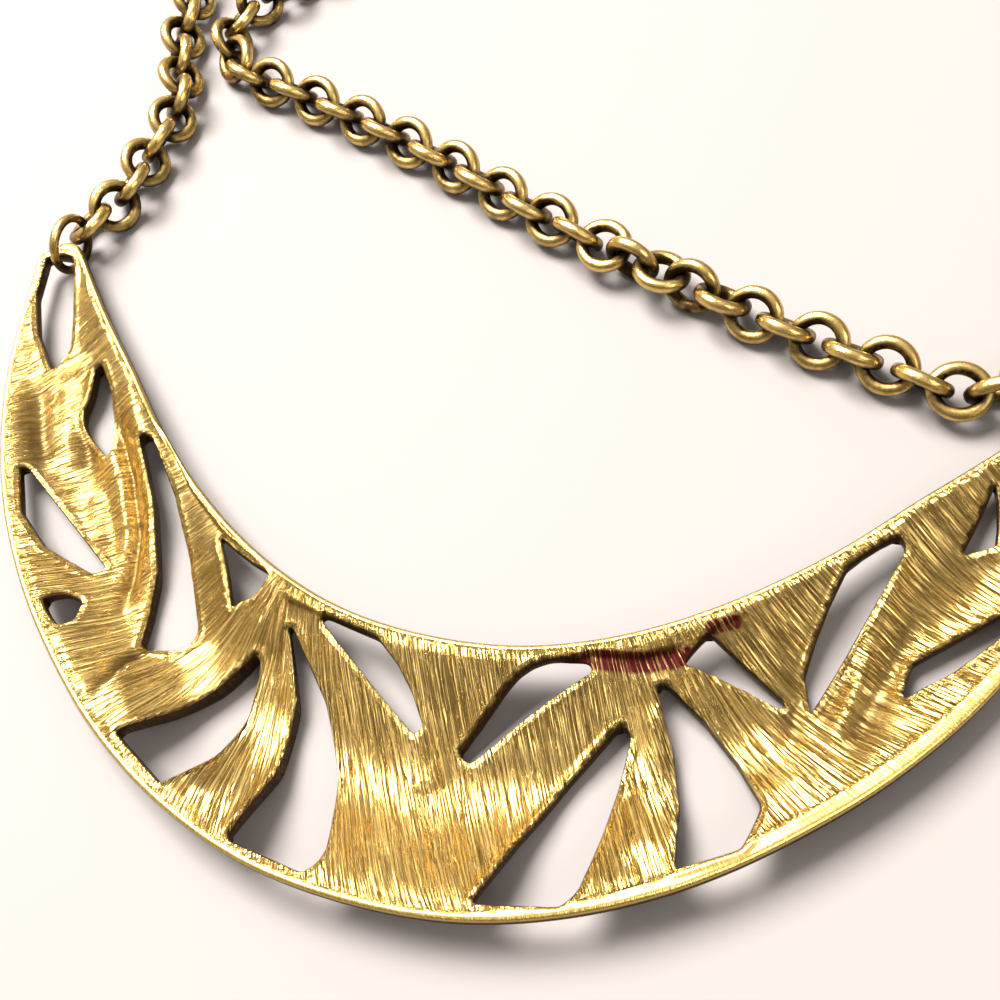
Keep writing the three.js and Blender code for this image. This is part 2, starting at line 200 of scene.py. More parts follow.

# The middle lines of the chain's two sides, from the plate's tips to the clasp
RIGHT_ROUTE = [
    (57.3, 63.8), (56.3, 68.2), (53.3, 66.6), (50.5, 64.1), (47.3, 62.2), (43.6, 61.5),
    (36.7, 63.6), (29.5, 65.6), (22.4, 67.8), (15.2, 70.3), (9.9, 72.0), (4.5, 74.1),
    (-2.1, 77.0), (-9.2, 80.4), (-17.2, 84.1), (-26.0, 87.7), (-33.8, 90.5), (-40.6, 92.8),
    (-46.4, 94.7), (-50.2, 99.0), (-50.4, 104.5), (-47.5, 110.0), (-41.2, 118.0),
    (-38.2, 126.5), (-37.8, 134.0),
]
LEFT_ROUTE = [
    (-57.3, 63.8), (-56.9, 67.9), (-54.9, 71.1), (-54.1, 75.5), (-53.8, 80.5), (-53.3, 86.0),
    (-54.6, 91.5), (-57.1, 97.5), (-58.4, 103.5), (-59.8, 109.5), (-64.5, 118.0),
    (-70.0, 127.5), (-72.5, 138.0), (-69.5, 148.0), (-62.0, 155.0), (-52.5, 156.5),
    (-44.0, 152.5), (-38.6, 144.5), (-37.8, 136.0),
]

# The view
CAMERA_PLACE = (30.59, -9.40, 108.28)       # in millimetres of the plate's plan
CAMERA_FORWARD = Vector((-0.2357, 0.4188, -0.8769))
CAMERA_UP = Vector((-0.1722, 0.8701, 0.4618))
LENS = 43.2
SENSOR_WIDTH = 36.0
CLIP_START = 0.01
WINDOW_DIRECTION = Vector((-0.52, 0.33, 1.0)).normalized()
FILL_DIRECTION = (0.9, -0.4, 1.1)
ROOM_COLOR = (0.30, 0.265, 0.235, 1)
ROOM_COLOR_AT_WINDOW = (1.30, 1.25, 1.18, 1)
FLOOR_COLOR = (0.256, 0.232, 0.222, 1)
FLOOR_HALF_WIDTH = 4.0

# The colours of the metal
LEAF_GOLD = (0.78, 0.56, 0.19, 1)
RIM_GOLD = (0.82, 0.59, 0.18, 1)
GROOVE_BROWN = (0.13, 0.062, 0.015, 1)
PATINA_BROWN = (0.11, 0.058, 0.018, 1)
SPECKLE_BROWN = (0.10, 0.055, 0.02, 1)
# painted shade for the walls, the underside and the bands beside the edges
WALL_PAINTED_SHADE = (0.06, 0.034, 0.012, 1)
STAIN_RED = (0.095, 0.003, 0.005, 1)
CHAIN_GOLD = (0.72, 0.50, 0.17, 1)
# dark patina, and the painted shade of the links
CHAIN_PATINA_AND_SHADE = (0.030, 0.016, 0.006, 1)
CHAIN_LINES = (0.16, 0.09, 0.03, 1)
CHAIN_SPECKLE = (0.07, 0.04, 0.016, 1)


# --- Small mesh and number helpers --------------------------------------------------------

def smoothstep(x, low, high):
    t = np.clip((np.asarray(x, float) - low) / (high - low), 0.0, 1.0)
    return t * t * (3 - 2 * t)


def value_noise(x, y, seed):
    """Smooth noise from -1 to 1 over a plane, the same for the same seed."""
    table = np.random.RandomState(seed).uniform(-1, 1, (256, 256))
    column, row = np.floor(x).astype(int), np.floor(y).astype(int)
    fx, fy = x - column, y - row
    fx, fy = fx * fx * (3 - 2 * fx), fy * fy * (3 - 2 * fy)
    corner = lambda dx, dy: table[(column + dx) % 256, (row + dy) % 256]
    low = corner(0, 0) * (1 - fx) + corner(1, 0) * fx
    high = corner(0, 1) * (1 - fx) + corner(1, 1) * fx
    return low * (1 - fy) + high * fy


def line_distance(points, line):
    """Distance of each point to a broken line, and how far along the line it is, 0 to 1."""
    line = np.asarray(line, float)
    best = np.full(len(points), 1e9)
    along = np.zeros(len(points))
    for k in range(len(line) - 1):
        step = line[k + 1] - line[k]
        share = np.clip((points - line[k]) @ step / (step @ step), 0, 1)
        distance = np.linalg.norm(points - line[k] - share[:, None] * step, axis=1)
        nearer = distance < best
        best[nearer] = distance[nearer]
        along[nearer] = ((k + share) / (len(line) - 1))[nearer]
    return best, along


def resample(points, spacing, closed):
    points = np.asarray(points, float)
    if closed:
        points = np.vstack([points, points[:1]])
    lengths = np.concatenate([[0], np.cumsum(np.linalg.norm(np.diff(points, axis=0), axis=1))])
    count = max(8, int(round(lengths[-1] / spacing)))
    places = np.linspace(0, lengths[-1], count, endpoint=not closed)
    return np.stack([np.interp(places, lengths, points[:, k]) for k in range(2)], axis=1)


def soften(loop, sigma):
    """Rounds the corners of a closed, evenly spaced loop."""
    reach = int(math.ceil(3 * sigma))
    weights = np.exp(-0.5 * (np.arange(-reach, reach + 1) / sigma) ** 2)
    weights /= weights.sum()
    return sum(w * np.roll(loop, k, axis=0) for w, k in zip(weights, range(-reach, reach + 1)))


def new_object(name, points, faces, attributes=None):
    """A smooth mesh object from points in millimetres of the plate's plan."""
    mesh = bpy.data.meshes.new(name)
    mesh.from_pydata(((np.asarray(points) + ORIGIN) * MM).tolist(), [], faces)
    for key, values in (attributes or {}).items():
        values = np.asarray(values, np.float32)
        if values.ndim == 1:
            layer = mesh.attributes.new(key, "FLOAT", "POINT")
            layer.data.foreach_set("value", values)
        else:
            layer = mesh.attributes.new(key, "FLOAT_VECTOR", "POINT")
            layer.data.foreach_set("vector", values.ravel())
    mesh.polygons.foreach_set("use_smooth", [True] * len(mesh.polygons))
    mesh.update()
    piece = bpy.data.objects.new(name, mesh)
    bpy.context.scene.collection.objects.link(piece)
    return piece


def hand_over(piece, node, material):
    """Gives a finished piece its material and puts it in the place of a frame node."""
    piece.data.materials.clear()
    piece.data.materials.append(material)
    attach(piece, "root")
    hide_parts(node)


# --- The plate ----------------------------------------------------------------------------

def plate_loops():
    """The edge loops of the frame's plate: its outline and its openings, in the plan."""
    source = bmesh.new()
    source.from_mesh(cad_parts["bib_plate"].data)
    bmesh.ops.remove_doubles(source, verts=source.verts, dist=2e-6)
    source.normal_update()
    neighbours = {}
    for edge in source.edges:
        if len(edge.link_faces) != 2:
            continue
        slopes = sorted(face.normal.z for face in edge.link_faces)
        if slopes[1] > 0.6 and abs(slopes[0]) < 0.3:
            a, b = edge.verts
            neighbours.setdefault(a.index, []).append(b.index)
            neighbours.setdefault(b.index, []).append(a.index)
    source.verts.ensure_lookup_table()
    place = {i: np.array(source.verts[i].co[:2]) / MM - ORIGIN[:2] for i in neighbours}
    source.free()
    loops = []
    unused = set(neighbours)
    while unused:
        start = min(unused)
        loop = [start]
        unused.discard(start)
        while True:
            onward = [n for n in neighbours[loop[-1]] if n in unused]
            if not onward:
                break
            loop.append(onward[0])
            unused.discard(onward[0])
        if len(loop) > 5:
            loops.append(np.array([place[i] for i in loop]))
    return loops


def signed_area(loop):
    following = np.roll(loop, -1, axis=0)
    return 0.5 * np.sum(loop[:, 0] * following[:, 1] - following[:, 0] * loop[:, 1])


def prepared_loops():
    """Evenly spaced loops with material on their left, the outline first, and inward normals."""
    loops = sorted(plate_loops(), key=lambda loop: -abs(signed_area(loop)))
    result = []
    for k, loop in enumerate(loops):
        if (signed_area(loop) > 0) != (k == 0):
            loop = loop[::-1]
        softening = OUTLINE_SOFTENING if k == 0 else CORNER_SOFTENING
        loop = soften(resample(loop, EDGE_SPACING, True), softening / EDGE_SPACING)
        loop = resample(loop, EDGE_SPACING, True)
        tangent = np.roll(loop, -1, axis=0) - np.roll(loop, 1, axis=0)
        tangent /= np.linalg.norm(tangent, axis=1)[:, None]
        result.append((loop, np.stack([-tangent[:, 1], tangent[:, 0]], axis=1)))
    return result


class Band:
    """The crescent between its outer and inner edge: how far along and across a point is."""

    def __init__(self, outline):
        def part(first, last):
            i = int(np.argmin(np.linalg.norm(outline - first, axis=1)))
            j = int(np.argmin(np.linalg.norm(outline - last, axis=1)))
            count = (j - i) % len(outline) + 1
            return resample(outline[(i + np.arange(count)) % len(outline)], 0.2, False)
        right = {key: np.array(corner) for key, corner in TIP_CORNERS.items()}
        left = {key: corner * (-1, 1) for key, corner in right.items()}
        outer = part(left["outer"], right["outer"])
        inner = part(right["inner"], left["inner"])[::-1]
        self.shares = np.linspace(0, 1, 601)
        at = lambda edge: np.stack([
            np.interp(self.shares, np.linspace(0, 1, len(edge)), edge[:, k]) for k in (0, 1)], 1)
        self.outer, self.inner = at(outer), at(inner)
        self.width = np.linalg.norm(self.inner - self.outer, axis=1)

    def place(self, points):
        along = np.zeros(len(points))
        across = np.zeros(len(points))
        rungs = self.inner - self.outer
        for start in range(0, len(points), 8000):
            block = points[start:start + 8000]
            offset = block[:, None, :] - self.outer[None, :, :]
            side = rungs[None, :, 0] * offset[:, :, 1] - rungs[None, :, 1] * offset[:, :, 0]
            change = (side[:, :-1] > 0) != (side[:, 1:] > 0)
            near = np.where(change, np.linalg.norm(offset[:, :-1], axis=2), 1e9).argmin(axis=1)
            rows = np.arange(len(block))
            low, high = side[rows, near], side[rows, near + 1]
            share = np.clip(low / np.where(low == high, 1, low - high), 0, 1)
            found = change.any(axis=1)
            ends = np.where(block[:, 0] > 0, len(self.shares) - 1.0, 0.0)
            at = np.where(found, near + share, ends)
            along[start:start + 8000] = at / (len(self.shares) - 1)
            index = np.arange(len(self.shares))
            foot = np.stack([np.interp(at, index, self.outer[:, k]) for k in (0, 1)], 1)
            rung = np.stack([np.interp(at, index, rungs[:, k]) for k in (0, 1)], 1)
            across[start:start + 8000] = (
                ((block - foot) * rung).sum(axis=1) / (rung * rung).sum(axis=1))
        return along, np.clip(across, 0, 1)

    def grain(self, along, across):
        """Coordinates that follow the brushed grain, in millimetres: across it and along it."""
        table = np.array(GRAIN_LINES)
        fine = np.linspace(0, len(table) - 1, 400)
        smooth = lambda values: soften_open(np.interp(fine, np.arange(len(table)), values), 6)
        inner_x, outer_x = smooth(table[:, 0]), smooth(table[:, 1])
        start = np.interp(inner_x, self.inner[:, 0], self.shares)
        end = np.interp(outer_x, self.outer[:, 0], self.shares)
        reach = GRAIN_REACH * (np.diff(start, prepend=0) + np.diff(end, prepend=0))
        u = np.cumsum(reach)
        low, high = np.zeros(len(along)), np.full(len(along), len(fine) - 1.0)
        index = np.arange(len(fine))
        for _ in range(16):
            middle = (low + high) / 2
            value = (np.interp(middle, index, end) * (1 - across)
                     + np.interp(middle, index, start) * across)
            high = np.where(value > along, middle, high)
            low = np.where(value > along, low, middle)
        return np.interp((low + high) / 2, index, u), across * np.interp(
            along, self.shares, self.width)


def soften_open(values, sigma):
    reach = int(3 * sigma)
    weights = np.exp(-0.5 * (np.arange(-reach, reach + 1) / sigma) ** 2)
    padded = np.concatenate([
        2 * values[0] - values[reach:0:-1], values, 2 * values[-1] - values[-2:-reach - 2:-1]])
    return np.convolve(padded, weights / weights.sum(), mode="valid")


def plate_height(points, along, across):
    """Top of the plate without its relief."""
    arch = (points[:, 0] / HALF_SPAN) ** 2
    inside = np.clip((across - RIM_SHARE) / (1 - 2 * RIM_SHARE), 0, 1)
    hollow = HOLLOW_DEPTH * (1 - (2 * along - 1) ** 2) * np.sin(math.pi * inside) ** HOLLOW_SHAPE
    return RIM_TOP - TIP_DROP * arch - hollow


def ridge_height(points, row):
    """A ridge, or a valley if its height is negative, that fades out at its ends."""
    distance, along = line_distance(points, row["line"])
    taper = smoothstep(along, -0.02, 0.18) * smoothstep(1 - along, -0.02, 0.18)
    taper = 0.25 + 0.75 * taper
    return row["height"] * taper * np.exp(-(distance / row["width"]) ** 2)


def tuck_depth(points, row):
    """The step down under a line, deepest right beside it."""
    distance, along = line_distance(points, row["line"])
    line = np.asarray(row["line"])
    level = np.interp(points[:, 0], line[:, 0], line[:, 1])
    under = smoothstep(level - points[:, 1], -0.1, 0.25)
    ends = smoothstep(along, 0.0, 0.12) * smoothstep(1 - along, 0.0, 0.12)
    return row["depth"] * ends * under * np.exp(-(distance / row["reach"]) ** 2)


def relief(points, edge_distance, rim_distance, outer_distance, grain):
    """Height of the leaves' ridges, the rims and the brushed lines over the plain plate."""
    height = np.zeros(len(points))
    for row in RELIEF:
        height += ridge_height(points, row)
    for row in TUCKS:
        height -= tuck_depth(points, row)
    height += LIP["height"] * np.exp(-((edge_distance - LIP["place"]) / LIP["width"]) ** 2)

    width = np.interp(points[:, 0], BORDER["x"], BORDER["width"])
    border = 1 - smoothstep(outer_distance, width - 0.4, width + 0.3)
    crown = 1 - (np.clip(outer_distance / width, 0, 1) * 2 - 1) ** 2
    height += border * BORDER["height"] * (0.6 + 0.4 * crown)

    u, v = grain
    plain_tip = smoothstep(np.abs(points[:, 0]), *PLAIN_TIP["x"])
    plain_tip = plain_tip * smoothstep(outer_distance, *PLAIN_TIP["outer"])
    brushed = smoothstep(rim_distance, *BRUSHED["from_rim"]) * (1 - border) * (1 - plain_tip)
    coarse, fine = BRUSHED["coarse"], BRUSHED["fine"]
    lines = (0.6 * value_noise(u * coarse[0], v * coarse[1], 3)
             + 0.6 * value_noise(u * fine[0], v * fine[1], 5))
    height += BRUSHED["height"] * brushed * lines
    waves = points * CASTING_WAVES["scale"]
    height += CASTING_WAVES["height"] * value_noise(waves[:, 0], waves[:, 1], 8)

    from_disc = np.linalg.norm(points - SMALL_DISC["centre"], axis=1)
    height += SMALL_DISC["height"] * (1 - smoothstep(
        from_disc, SMALL_DISC["radius"] * 0.85, SMALL_DISC["radius"]))
    return height


def triangulate(border_loops, extra, is_inside):
    """Triangles over a region bounded by loops, with extra points inside it."""
    points = [tuple(p) for loop in border_loops for p in loop] + [tuple(p) for p in extra]
    edges = []
    first = 0
    for loop in border_loops:
        n = len(loop)
        edges += [(first + i, first + (i + 1) % n) for i in range(n)]
        first += n
    result = delaunay_2d_cdt([Vector(p) for p in points], edges, [], 0, 1e-7, True)
    flat = np.array([(p.x, p.y) for p in result[0]])
    faces = np.array([f for f in result[2] if len(f) == 3])
    source = np.array([origin[0] if origin else -1 for origin in result[3]])
    a, b, c = flat[faces[:, 0]], flat[faces[:, 1]], flat[faces[:, 2]]
    area = (b[:, 0] - a[:, 0]) * (c[:, 1] - a[:, 1]) - (b[:, 1] - a[:, 1]) * (c[:, 0] - a[:, 0])
    faces[area < 0] = faces[area < 0][:, ::-1]
    on_border = (source[faces] < first).all(axis=1)
    keep = ~on_border
    keep[on_border] = is_inside((a + b + c)[on_border] / 3)
    return flat, faces[keep & (np.abs(area) > 1e-9)], source


def plan_tree(points):
    tree = KDTree(len(points))
    for i, point in enumerate(points):
        tree.insert((point[0], point[1], 0), i)
    tree.balance()
    return tree


def nearest_in(tree, points):
    """For each point, which one of the tree is nearest and how far away it is."""
    found = [tree.find((p[0], p[1], 0)) for p in points]
    return np.array([f[1] for f in found]), np.array([f[2] for f in found])


class Edges:
    """The plate's outline and openings in the plan, with normals into the metal."""

    def __init__(self, loops):
        self.loops = [loop for loop, _ in loops]
        self.points = np.vstack(self.loops)
        self.inward = np.vstack([normal for _, normal in loops])
        self.tree = plan_tree(self.points)
        self.outline_tree = plan_tree(self.loops[0])

    def depth(self, points):
        """Distance to the nearest edge, negative outside the metal."""
        index, distance = nearest_in(self.tree, points)
        side = ((points - self.points[index]) * self.inward[index]).sum(axis=1)
        return np.where(side > 0, distance, -distance)

    def staggered_points(self, spacing, clearance):
        """Points inside the metal in staggered rows, each a little out of place."""
        low, high = self.loops[0].min(axis=0), self.loops[0].max(axis=0)
        xs = np.arange(low[0], high[0], spacing)
        ys = np.arange(low[1], high[1], spacing * 0.866)
        grid_x, grid_y = np.meshgrid(xs, ys)
        grid_x = grid_x + spacing / 2 * (np.arange(len(ys)) % 2)[:, None]
        points = np.stack([grid_x.ravel(), grid_y.ravel()], axis=1)
        shift = np.random.RandomState(11).uniform(-1, 1, points.shape)
        points = points + shift * spacing * UNEVENNESS
        return points[self.depth(points) > clearance]


def wall_faces(loops, rows):
    """Four-sided faces between each row of edge points and the row below it."""
    faces = []
    first = 0
    for loop in loops:
        n = len(loop)
        here = first + np.arange(n)
        after = first + (np.arange(n) + 1) % n
        for upper, lower in zip(rows[:-1], rows[1:]):
            faces += np.column_stack(
                [upper[here], lower[here], lower[after], upper[after]]).tolist()
        first += n
    return faces


def edge_shade(edges, top, edge, rim):
    """Painted shade beside the walls, wider and ragged on one side of the openings."""
    nearest, _ = nearest_in(edges.tree, top)
    on_shaded_side = smoothstep(edges.inward[nearest] @ SHADED_SIDE, 0.2, 0.8)
    on_shaded_side *= rim > 0.8
    ragged = EDGE_RAGGEDNESS * value_noise(top[:, 0] * 2.2, top[:, 1] * 2.2, 21)
    reach = EDGE_SHADE + on_shaded_side * (SHADED_SIDE_REACH + ragged)
    return 1 - smoothstep(edge, reach - EDGE_SHADE, reach + 0.05)


def polish_of(top, edge, rim, from_outer, across):
    """Shine of the outline, the outer border, the lips and the inner side of each tip."""
    border_width = np.interp(top[:, 0], BORDER["x"], BORDER["width"])
    polish = np.maximum(np.exp(-(rim / RIM_POLISH) ** 2),
                        1 - smoothstep(from_outer, border_width - 0.2, border_width))
    polish += LIP_POLISH["amount"] * np.exp(
        -((edge - LIP_POLISH["place"]) / LIP_POLISH["width"]) ** 2)
    plain_tip = smoothstep(np.abs(top[:, 0]), *PLAIN_TIP["x"])
    plain_tip = plain_tip * smoothstep(across, *PLAIN_TIP["across"])
    return np.clip(np.maximum(polish, PLAIN_TIP["polish"] * plain_tip), 0, 1)


def stain_of(plan):
    stain = np.zeros(len(plan))
    for row in STAINS:
        distance, _ = line_distance(plan, row["line"])
        stain = np.maximum(stain, np.exp(-(distance / row["width"]) ** 2))
    return stain


def cast_plate():
    """The bib as one closed mesh: relief on top, a plain underside, walls between them."""
    loops = prepared_loops()
    edges = Edges(loops)
    band = Band(edges.loops[0])

    rings = []
    for depth in EDGE_RINGS:
        ring = edges.points + edges.inward * depth
        rings.append(ring[edges.depth(ring) > 0.92 * depth])
    inner_points = edges.staggered_points(TOP_SPACING, EDGE_RINGS[-1] + RING_CLEARANCE)
    top, top_faces, top_source = triangulate(
        edges.loops, np.vstack(rings + [inner_points]), lambda p: edges.depth(p) > 0)
    under, under_faces, under_source = triangulate(
        [loop + normal * UNDERSIDE_INSET for loop, normal in loops],
        edges.staggered_points(UNDERSIDE_SPACING, UNDERSIDE_CLEARANCE),
        lambda p: edges.depth(p) > 0.05)

    along, across = band.place(top)
    edge = np.maximum(edges.depth(top), 0)
    rim = nearest_in(edges.outline_tree, top)[1]
    outer = across * np.interp(along, band.shares, band.width)
    raised = relief(top, edge, rim, outer, band.grain(along, across))
    left = np.clip(EDGE_ROUNDING - edge, 0, EDGE_ROUNDING)
    rounding = EDGE_ROUNDING - np.sqrt(np.maximum(EDGE_ROUNDING ** 2 - left ** 2, 0))
    top_z = plate_height(top, along, across) + raised - rounding
    under_z = plate_height(under, *band.place(under)) - PLATE_THICKNESS

    # the rows of points down the walls, from the top's edge to the underside's
    top_n, under_n, edge_n = len(top), len(under), len(edges.points)
    top_of = {int(s): i for i, s in enumerate(top_source) if 0 <= s < edge_n}
    under_of = {int(s): i for i, s in enumerate(under_source) if 0 <= s < edge_n}
    at_top = np.array([top_of[i] for i in range(edge_n)])
    at_under = np.array([under_of[i] for i in range(edge_n)])
    high, low = top_z[at_top], under_z[at_under]
    wall_points, rows = [], [at_top]
    for k, (share, inset) in enumerate(WALL_ROWS):
        level = high + (low + 0.15 - high) * share * 1.2
        wall_points.append(np.column_stack([edges.points + edges.inward * inset, level]))
        rows.append(top_n + under_n + k * edge_n + np.arange(edge_n))
    rows.append(top_n + at_under)
    points = np.vstack([np.column_stack([top, top_z]), np.column_stack([under, under_z])]
                       + wall_points)
    faces = (top_faces.tolist() + (under_faces[:, ::-1] + top_n).tolist()
             + wall_faces(edges.loops, rows))

    # what the finish needs to know: grain direction, edges, hollows, stains and where shade is
    # painted
    def with_others(values, elsewhere):
        return np.concatenate([values, np.full(len(points) - top_n, elsewhere)])

    u, v = band.grain(*band.place(points[:, :2]))
    polish = polish_of(top, edge, rim, v[:top_n], across)
    stain = stain_of(points[:, :2])
    stain[top_n:] *= 0.5
    return new_object("cast_plate", points, faces, {
        "grain": np.column_stack([u, v, with_others(rim, FAR_FROM_RIM)]),
        "finish": np.column_stack([with_others(polish, 0.0), with_others(raised, 0.0), stain]),
        # painted shade: the walls and underside all dark, and a band on the top beside each edge
        "painted_wall_shade": with_others(edge_shade(edges, top, edge, rim), 1.0),
    })


# --- The chain ----------------------------------------------------------------------------

def places_along(route, distance):
    """Centres and directions of links at set distances along a smooth route."""
    route = np.asarray(route, float)
    padded = np.vstack([2 * route[0] - route[1], route, 2 * route[-1] - route[-2]])
    t = np.linspace(0, 1, 200, endpoint=False)[:, None]
    spans = []
    for k in range(len(route) - 1):
        p0, p1, p2, p3 = padded[k:k + 4]
        m1, m2 = (p2 - p0) / 2, (p3 - p1) / 2
        spans.append((2 * t ** 3 - 3 * t ** 2 + 1) * p1 + (t ** 3 - 2 * t ** 2 + t) * m1
                     + (3 * t ** 2 - 2 * t ** 3) * p2 + (t ** 3 - t ** 2) * m2)
    curve = np.vstack(spans + [route[-1:]])
    lengths = np.concatenate([[0], np.cumsum(np.linalg.norm(np.diff(curve, axis=0), axis=1))])
    tangent = np.gradient(curve, axis=0)
    centre = np.stack([np.interp(distance, lengths, curve[:, k]) for k in (0, 1)], 1)
    along = np.stack([np.interp(distance, lengths, tangent[:, k]) for k in (0, 1)], 1)
    return centre, along / np.linalg.norm(along, axis=1)[:, None]


def ring_matrix(centre, along, height, lean):
    direction = Vector((along[0], along[1], 0))
    sideways = Vector((along[1], -along[0], 0))
    axis = Vector((0, 0, 1)) * math.cos(lean) + sideways * math.sin(lean)
    third = axis.cross(direction)
    matrix = Matrix((direction, third, axis)).transposed().to_4x4()
    matrix.translation = (centre[0], centre[1], height)
    return matrix


def wire_ring(half_length, half_width, wire_radius, matrix, seed, steps=56, sides=18):
    """Points, faces and painted light and shade of one link of drawn wire, with its soldered
    joint.
    """
    random = np.random.RandomState(seed)
    phase = random.uniform(0, 2 * math.pi, 3)
    around = np.linspace(0, 2 * math.pi, steps, endpoint=False)
    section = np.linspace(0, 2 * math.pi, sides, endpoint=False)
    big, small = np.meshgrid(around, section, indexing="ij")
    ovalness = 1 + OUT_OF_TRUE["oval"] * np.cos(2 * big + phase[0])
    joint = np.exp(-(((big - math.pi * 0.5) % (2 * math.pi)) / JOINT_ANGLE) ** 2)
    wave = OUT_OF_TRUE["wave"] * np.sin(3 * big + phase[1])
    wire = wire_radius * (1 + wave + OUT_OF_TRUE["joint"] * joint)
    worn = OUT_OF_TRUE["worn"] * value_noise(
        big * 2.2 + seed, np.sin(small) * 1.5 + seed, 31)
    flat = 1 - OUT_OF_TRUE["flat"] * np.cos(small) ** 8 + worn
    out = wire * flat * np.cos(small)
    local = np.stack([(half_length * ovalness + out) * np.cos(big),
                      (half_width * ovalness + out) * np.sin(big),
                      wire * np.sin(small)], axis=-1)
    local = local.reshape(-1, 3)
    turn = np.array(matrix.to_3x3())
    points = local @ turn.T + np.array(matrix.translation)
    faces = []
    for i in range(steps):
        for j in range(sides):
            a, b = i * sides, (i + 1) % steps * sides
            faces.append((a + j, b + j, b + (j + 1) % sides, a + (j + 1) % sides))
    # painted shade on the inner side of the ring and at the two places where its neighbours rub,
    # painted light on its upward side
    contact = np.abs(np.cos(big)).reshape(-1) ** 6
    inner_side = (0.5 - 0.5 * np.cos(small)).reshape(-1)
    upward = np.clip((turn @ np.stack([
        np.cos(small) * np.cos(big), np.cos(small) * np.sin(big), np.sin(small)],
        axis=-1).reshape(-1, 3).T)[2], -1, 1)
    painted_light_and_shade = np.clip(
        LINK_LIGHT_AND_SHADE["level"] + LINK_LIGHT_AND_SHADE["upward"] * upward
        - LINK_LIGHT_AND_SHADE["inner"] * inner_side - LINK_LIGHT_AND_SHADE["contact"] * contact, 0, 1)
    length = np.stack([big.reshape(-1) * half_width, small.reshape(-1) * wire_radius], axis=1)
    return points, faces, painted_light_and_shade, length + seed * GRAIN_STEP


def ring_object(name, rings, material, node):
    points, faces, painted_light_and_shade, length = [], [], [], []
    for ring_points, ring_faces, ring_painted_light_and_shade, ring_length in rings:
        first = sum(len(p) for p in points)
        points.append(ring_points)
        faces += [tuple(first + i for i in face) for face in ring_faces]
        painted_light_and_shade.append(ring_painted_light_and_shade)
        length.append(ring_length)
    flat = np.vstack(length)
    piece = new_object(name, np.vstack(points), faces, {
        "grain": np.column_stack([flat[:, 1], flat[:, 0], np.zeros(len(flat))]),
        "painted_light_and_shade": np.concatenate(painted_light_and_shade),
    })
    hand_over(piece, node, material)


def chain_side(name, route, single_links, stretches, facing, crossways_parity, tip_lean, twist,
               material, seed):
    """One side of the chain. Joined stretches get the same loose links as the rest."""
    distance = [0.0, TIP_RING_PITCH]
    groups = []
    for _ in range(single_links - 1):
        distance.append(distance[-1] + LOOSE_PITCH)
    for n in stretches:
        length = (n - 1) * TAUT_PITCH
        count = int(round(length / LOOSE_PITCH)) + 1
        first = distance[-1] + LOOSE_PITCH
        groups.append(range(len(distance), len(distance) + count))
        distance += [first + length * k / (count - 1) for k in range(count)]
    centre, along = places_along(route, distance)

    def lean_of(i):
        crossways = -math.pi / 2 if i % 2 == crossways_parity else 0.0
        return facing * (LINK_LEAN + crossways + twist(i))

    def rest_height(i):
        return CAD_LINK_RADIUS * abs(math.sin(lean_of(i))) + CAD_WIRE

    def link(i):
        height = max(rest_height(i - 1), rest_height(i), rest_height(i + 1)) + LINK_LIFT
        matrix = ring_matrix(centre[i], along[i], height, lean_of(i))
        return wire_ring(LINK_HALF_LENGTH, LINK_HALF_WIDTH, WIRE_RADIUS, matrix, seed + i)

    tip_height = TIP_RING_RADIUS * abs(math.sin(tip_lean)) + TIP_RING_WIRE_RADIUS + 0.02
    tip_matrix = ring_matrix(centre[0], along[0], tip_height, tip_lean)
    ring_object(f"tip_ring_{name}_wire", [wire_ring(
        TIP_RING_RADIUS, TIP_RING_RADIUS, TIP_RING_WIRE_RADIUS, tip_matrix, seed, 64)],
        material, f"tip_ring_{name}")
    for i in range(1, single_links + 1):
        ring_object(f"link_{name}_{i:02d}_wire", [link(i)], material, f"link_{name}_{i:02d}")
    for k, members in enumerate(groups):
        node = f"chain_{name}_stretch_{k + 1}"
        ring_object(f"{node}_wire", [link(i) for i in members], material, node)


def clasp_cover(material):
    """The plain clasp with its edges rounded."""
    source = bmesh.new()
    source.from_mesh(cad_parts["clasp"].data)
    bmesh.ops.remove_doubles(source, verts=source.verts, dist=2e-6)
    bmesh.ops.dissolve_limit(source, angle_limit=math.radians(2), verts=source.verts,
                             edges=source.edges)
    sharp = [e for e in source.edges
             if len(e.link_faces) == 2 and e.calc_face_angle(0) > math.radians(40)]
    bmesh.ops.bevel(source, geom=sharp, offset=CLASP_BEVEL * MM, segments=3, profile=0.5,
                    affect="EDGES", clamp_overlap=True)
    mesh = bpy.data.meshes.new("clasp_cover")
    bmesh.ops.triangulate(source, faces=[f for f in source.faces if len(f.verts) > 4])
    source.to_mesh(mesh)
    source.free()
    spots = np.array([v.co for v in mesh.vertices]) / MM
    grain = mesh.attributes.new("grain", "FLOAT_VECTOR", "POINT")
    grain.data.foreach_set("vector", spots.astype(np.float32).ravel())
    # painted shade low on the clasp, painted light towards its top, by height above the table
    painted_light_and_shade = mesh.attributes.new("painted_light_and_shade", "FLOAT", "POINT")
    painted_light_and_shade.data.foreach_set("value", smoothstep(spots[:, 2], *CLASP_SHADE_TO_LIGHT).astype(np.float32))
    mesh.polygons.foreach_set("use_smooth", [False] * len(mesh.polygons))
    piece = bpy.data.objects.new("clasp_cover", mesh)
    bpy.context.scene.collection.objects.link(piece)
    hand_over(piece, "clasp", material)


# --- Materials ----------------------------------------------------------------------------

def add(tree, kind, inputs=None, **settings):
    node = tree.nodes.new(kind)
    for key, value in settings.items():
        setattr(node, key, value)
    for key, value in (inputs or {}).items():
        if isinstance(value, bpy.types.NodeSocket):
            tree.links.new(value, node.inputs[key])
        else:
            node.inputs[key].default_value = value
    return node


